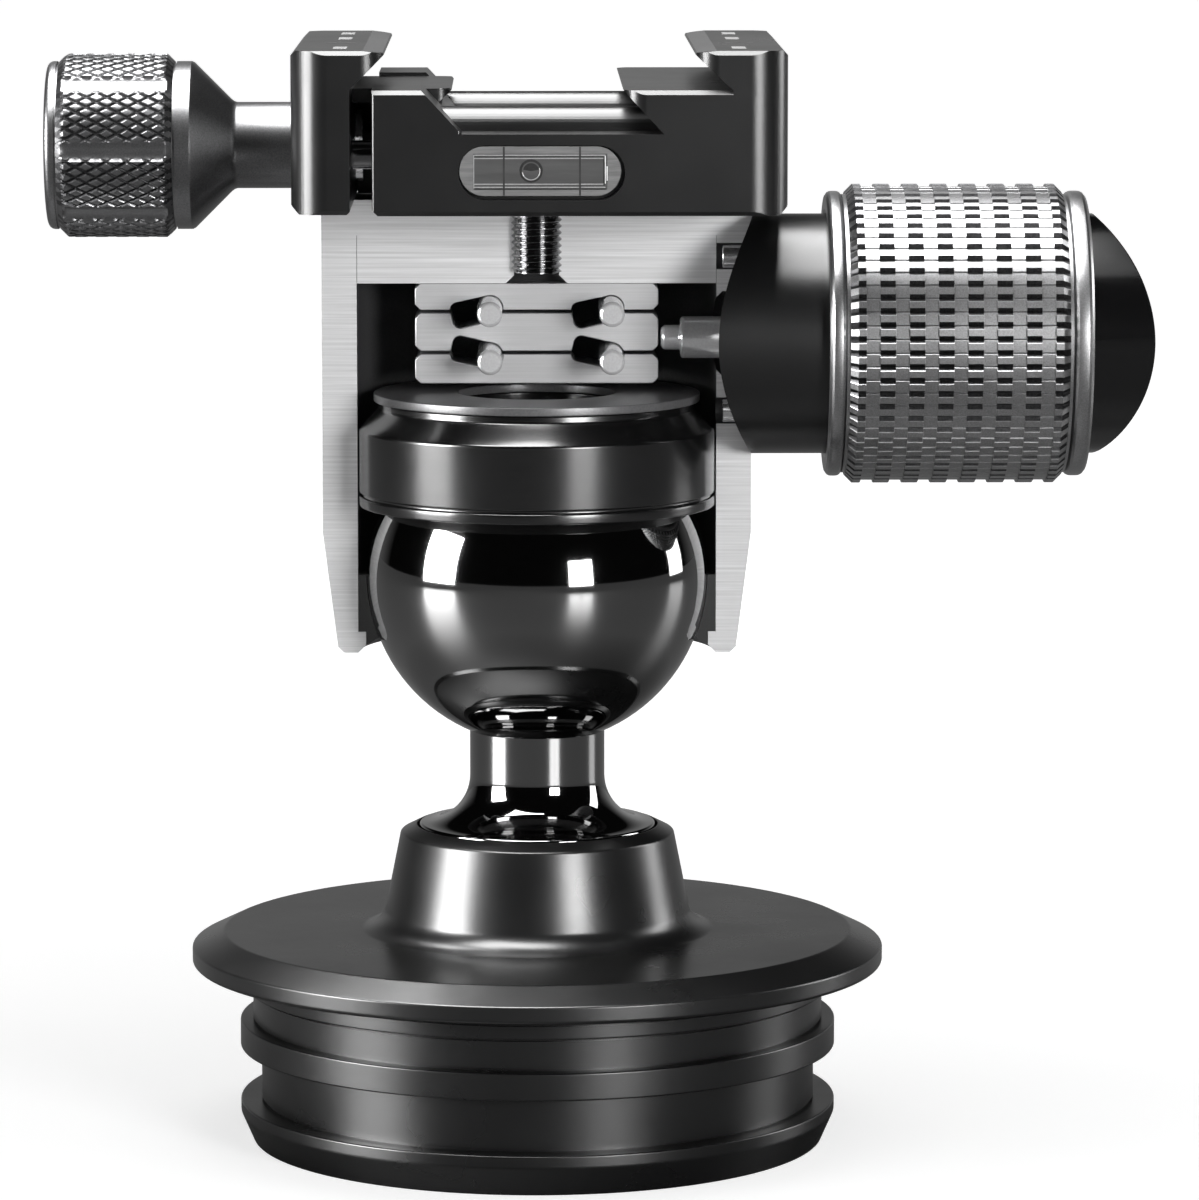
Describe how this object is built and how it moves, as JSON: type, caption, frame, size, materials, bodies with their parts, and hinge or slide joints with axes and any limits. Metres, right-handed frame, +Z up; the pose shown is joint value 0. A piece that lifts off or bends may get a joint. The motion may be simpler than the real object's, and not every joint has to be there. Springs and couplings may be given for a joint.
{
  "type": "inverted ball head",
  "caption": "Cutaway inverted ball head on a grooved platform base: ball on a flared neck, wedge and roller ball lock worked by a side knob, quick-release clamp with spirit level on top.",
  "frame": {"origin": "centre of the base's underside, at the mouth of the tripod thread", "axes": "+Z up along the ball stud, +X towards the lock knob, the cut faces look to -Y"},
  "size_m": [0.1186, 0.0756, 0.1201],
  "materials": {
    "base_black": "satin black anodised",
    "thread_steel": "turned steel",
    "ball_black": "polished black anodised",
    "seat_black": "black anodised",
    "ring_grey": "dark grey anodised, turned",
    "disc_steel": "ground dark steel",
    "housing_alu": "black anodised outside and inside, bare brushed cut faces",
    "plate_steel": "satin ground steel with bright chamfers",
    "roller_chrome": "polished",
    "bush_brass": "turned brass",
    "screw_steel": "zinc plated",
    "clamp_black": "satin black anodised",
    "bolt_black": "black oxide",
    "knob_silver": "clear anodised, knurled",
    "cap_black": "satin black anodised",
    "knob_grey": "titanium grey anodised, knurled",
    "vial_glass": "clear with tinted liquid",
    "window_clear": "clear acrylic"
  },
  "bodies": {
    "base": {"base_platform": "base_black", "thread_insert": "thread_steel"},
    "ball_stud": {"ball_stud": "ball_black"},
    "ball_seat": {"pressure_ring": "ring_grey", "thrust_disc": "disc_steel"},
    "head": {"housing": "housing_alu", "top_cap": "housing_alu", "seat_ring": "seat_black", "wedge_top_plate": "plate_steel", "lock_boss": "clamp_black", "lock_bush": "bush_brass", "boss_screws": "screw_steel", "clamp_body": "clamp_black", "clamp_bolt": "bolt_black", "level_vial": "vial_glass", "level_window": "window_clear"},
    "wedge_middle": {"wedge_middle_plate": "plate_steel", "upper_rollers": "roller_chrome", "lower_rollers": "roller_chrome"},
    "wedge_bottom": {"wedge_bottom_plate": "plate_steel"},
    "lock_plunger": {"lock_plunger": "roller_chrome"},
    "lock_knob": {"lock_knob": "knob_silver", "lock_screw": "screw_steel", "knob_screw": "screw_steel", "lock_knob_cap": "cap_black"},
    "clamp_jaw": {"clamp_jaw": "clamp_black", "guide_pins": "screw_steel"},
    "clamp_knob": {"clamp_knob": "knob_grey", "clamp_spindle": "screw_steel", "spindle_clip": "screw_steel"}
  },
  "joints": [
    {"name": "tilt_direction", "type": "hinge", "parent": "base", "child": "ball_stud", "pos_m": [0, 0, 0.06209], "axis": [0, 0, 1], "continuous": true},
    {"name": "head_tilt", "type": "hinge", "parent": "ball_stud", "child": "ball_seat", "pos_m": [0, 0, 0.06209], "axis": [0, 1, 0], "range_deg": [-40, 40]},
    {"name": "head_pan", "type": "hinge", "parent": "ball_seat", "child": "head", "pos_m": [0, 0, 0.06209], "axis": [0, 0, 1], "continuous": true},
    {"name": "lock_push", "type": "slide", "parent": "head", "child": "lock_plunger", "axis": [-1, 0, 0], "range_m": [0, 0.00161]},
    {"name": "lock_turn", "type": "hinge", "parent": "lock_plunger", "child": "lock_knob", "pos_m": [0.0312, 0, 0.08841], "axis": [-1, 0, 0], "range_deg": [0, 180]},
    {"name": "wedge_middle_slide", "type": "slide", "parent": "head", "child": "wedge_middle", "axis": [-0.9767, 0, -0.2147], "range_m": [0, 0.00164]},
    {"name": "wedge_bottom_slide", "type": "slide", "parent": "head", "child": "wedge_bottom", "axis": [0, 0, -1], "range_m": [0, 0.000709]},
    {"name": "jaw_slide", "type": "slide", "parent": "head", "child": "clamp_jaw", "axis": [-1, 0, 0], "range_m": [-0.002, 0.005]},
    {"name": "clamp_turn", "type": "hinge", "parent": "clamp_jaw", "child": "clamp_knob", "pos_m": [-0.0258, 0, 0.10888], "axis": [-1, 0, 0], "range_deg": [-577, 1441]}
  ],
  "couplings": [
    {"joint": "lock_push", "follows": "lock_turn", "m_per_rad": 0.0005093},
    {"joint": "wedge_middle_slide", "follows": "lock_turn", "m_per_rad": 0.00052146},
    {"joint": "wedge_bottom_slide", "follows": "lock_turn", "m_per_rad": 0.00022395},
    {"joint": "clamp_turn", "follows": "jaw_slide", "rad_per_m": 5026.5}
  ]
}
